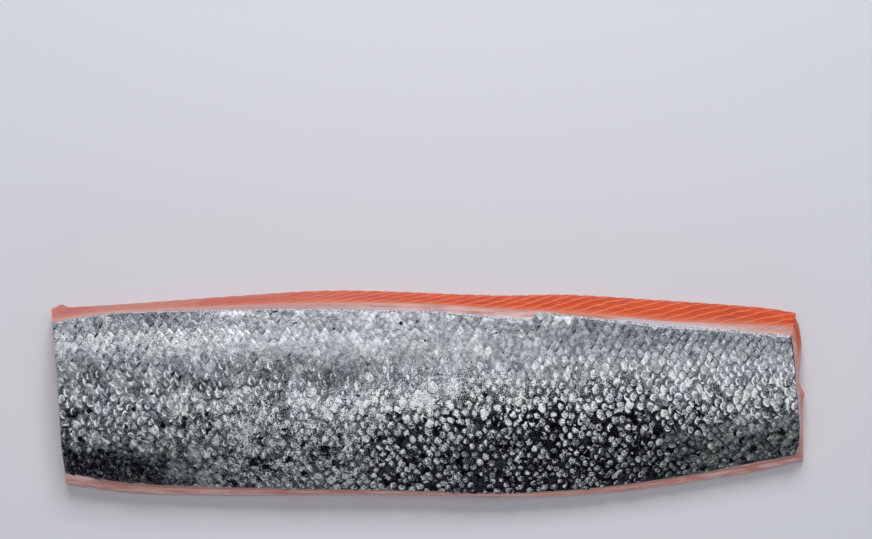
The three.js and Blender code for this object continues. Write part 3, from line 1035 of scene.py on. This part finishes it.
open_skin = scale_look.math("MAXIMUM", scale_look.fade(pigment_here, 0.03, 0.33),
                            scale_look.value("valley_shade"))
unbroken = scale_look.minus(1.0, scale_look.times(hole, 0.9))
cover = scale_look.between(open_skin, 1.0, disc)
cover = scale_look.times(cover, scale_look.times(scale_look.value("shine"), unbroken))
print("with silver and gaps:", len(scale_look.tree.nodes), "nodes")

# %% Colour of a scale
GREYS = [(0.0, (4, 5, 10)), (0.2, (44, 48, 56)), (0.4, (93, 97, 103)), (0.6, (147, 151, 157)),
         (0.8, (200, 204, 210)), (1.0, (247, 249, 253))]
WARM, BROWN = srgb(255, 254, 237), srgb(56, 38, 34)

ramp = scale_look.tree.nodes.new("ShaderNodeValToRGB")
for stop, _ in GREYS[1:-1]:
    ramp.color_ramp.elements.new(stop)
for element, (_, grey) in zip(ramp.color_ramp.elements, GREYS):
    element.color = (*srgb(*grey), 1.0)
scale_look.feed(ramp.inputs[0], scale_look.between(cover, gap, silver))
look = scale_look.blend(scale_look.value("tint"), ramp.outputs[0], WARM, "MULTIPLY")
brown = scale_look.fade(scale_look.noise(8, 3), 0.56, 0.68)
brown = scale_look.times(brown, scale_look.fade(cover, 0.0, 0.4, 0.25, 0.0))
look = scale_look.blend(scale_look.times(brown, beads), look, BROWN)
no_painted_glint = scale_look.math("SUBTRACT", 1.0, painted_glint, clamp=True)
metal = scale_look.times(scale_look.times(cover, no_painted_glint), scale_look.fade(beads, 0, 1, 0.18, 0.3))
wrinkles = scale_look.times(crinkle, scale_look.between(beads, 0.35, 1.0))
scale_look.set(Base_Color=look, Metallic=metal, Roughness=0.36, Specular_IOR_Level=0.02,
               Normal=scale_look.bump(wrinkles, 0.3))
print("the whole look:", len(scale_look.tree.nodes), "nodes")

# %% [markdown]
# ### The scales as one piece
# The mesh gets everything the material reads: where a point is on its scale, with every
# pattern shifted and turned by chance, and the numbers of its scale. A sharp edge round
# each rim keeps the plates crisp.

# %% Scales piece
PATTERN_WIDTH = 3.4

scales = make_piece("scales", points, faces, scale_look.material)
edge_ends = np.empty(2 * len(scales.data.edges), int)
scales.data.edges.foreach_get("vertices", edge_ends)
is_rim = (edge_ends.reshape(-1, 2) % block > SPOKES * (len(RINGS) - 1)).all(1)
scales.data.edges.foreach_set("use_edge_sharp", is_rim)

from_x = plate_x - shift_x
from_y = (plate_y - shift_y) * PATTERN_WIDTH / row_step[:, None]
spin = (mix(0.15, 0.55, beady) * calm.normal(size=count))[:, None]
where = np.stack([from_x * np.cos(spin) - from_y * np.sin(spin),
                  from_x * np.sin(spin) + from_y * np.cos(spin), 0 * from_x], -1)
store = scales.data.attributes.new("on_scale", "FLOAT_VECTOR", "POINT")
store.data.foreach_set("vector", where.astype(np.float32).ravel())

per_scale = {"shine": shine, "tone": tone, "tint": tint, "spot": spot, "glint": glint,
             "glint_size": glint_size, "arc": arc, "rim_light": rim_light, "crevice_shade": crevice_shade,
             "valley_shade": valley_shade, "grain": grain, "wander": wander, "dull": 1 - lively}
for name, numbers in per_scale.items():
    add_value(scales, name, np.repeat(numbers, block))
add_value(scales, "pigment", pigment_below)
add_value(scales, "ring", np.tile(ring, count))
add_value(scales, "lit_side", np.tile(-np.sin(angle), count))
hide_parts("skin")

# %% [markdown]
# ## Table
# The fillet lies on a pale, smooth table, one large square.

# %% Table
TABLE_SIZE = 3.0
table_mesh = bpy.data.meshes.new("table")
half = TABLE_SIZE / 2
table_mesh.from_pydata([(-half, -half, 0), (half, -half, 0), (half, half, 0), (-half, half, 0)],
                       [], [(0, 1, 2, 3)])
table = bpy.data.objects.new("table", table_mesh)
bpy.context.scene.collection.objects.link(table)
table_look = Nodes("pale table")
table_look.set(Base_Color=srgb(219, 220, 226), Roughness=0.5)
table_mesh.materials.append(table_look.material)
print("the table is", TABLE_SIZE, "m wide")

# %% [markdown]
# ## Light and camera
# A broad soft lamp stands beyond the far side, so the skin shines there and darkens
# where it rolls over towards us. A weak strip above and a low lamp on the near side
# lift the shadows, and a dim sky does the rest. The camera looks down steeply from the
# near side through a long lens, which keeps both ends the same size.


# %% Light
def turn_to(way):
    """The turn that points a lamp or a camera, which looks down its own -Z, along way."""
    return Vector(way).to_track_quat("-Z", "Y").to_euler()


def soft_light(name, place, width, height, power):
    """A rectangular lamp at place, turned to the origin. Sizes and places are in metres."""
    lamp = bpy.data.lights.new(name, "AREA")
    lamp.shape = "RECTANGLE"
    lamp.size, lamp.size_y = width, height
    lamp.energy = power
    holder = bpy.data.objects.new(name, lamp)
    bpy.context.scene.collection.objects.link(holder)
    holder.location = place
    holder.rotation_euler = turn_to(np.zeros(3) - place)
    return holder


lamps = [soft_light("far softbox", (0.02, 1.5, 1.25), 0.9, 0.7, 27.0),
         soft_light("strip", (0.0, 0.16, 0.95), 1.3, 0.5, 1.7),
         soft_light("fill", (0.1, -1.25, 0.35), 1.0, 0.4, 1.75)]
world = bpy.data.worlds.new("studio")
world.use_nodes = True
sky = world.node_tree.nodes["Background"]
sky.inputs["Color"].default_value = (0.86, 0.89, 0.95, 1)
sky.inputs["Strength"].default_value = 0.26
bpy.context.scene.world = world
bpy.context.scene.view_settings.view_transform = "Standard"
print(len(lamps), "lamps give", sum(lamp.data.energy for lamp in lamps), "watts")

# %% Camera
VIEW_DOWN = math.radians(80)
VIEW_DISTANCE = 1000.0
AIM = np.array([5.5, 65.8, 0.0])
SENSOR_WIDTH, LENS = 36, 76.88

camera_data = bpy.data.cameras.new("camera")
camera_data.sensor_width = SENSOR_WIDTH
camera_data.lens = LENS
camera = bpy.data.objects.new("camera", camera_data)
bpy.context.scene.collection.objects.link(camera)
back_off = np.array([0.0, -math.cos(VIEW_DOWN), math.sin(VIEW_DOWN)]) * VIEW_DISTANCE
camera.location = ((AIM + back_off + SHIFT) * MM).tolist()
camera.rotation_euler = turn_to(-back_off)
bpy.context.scene.camera = camera
print("the camera is at", [round(side, 2) for side in camera.location])
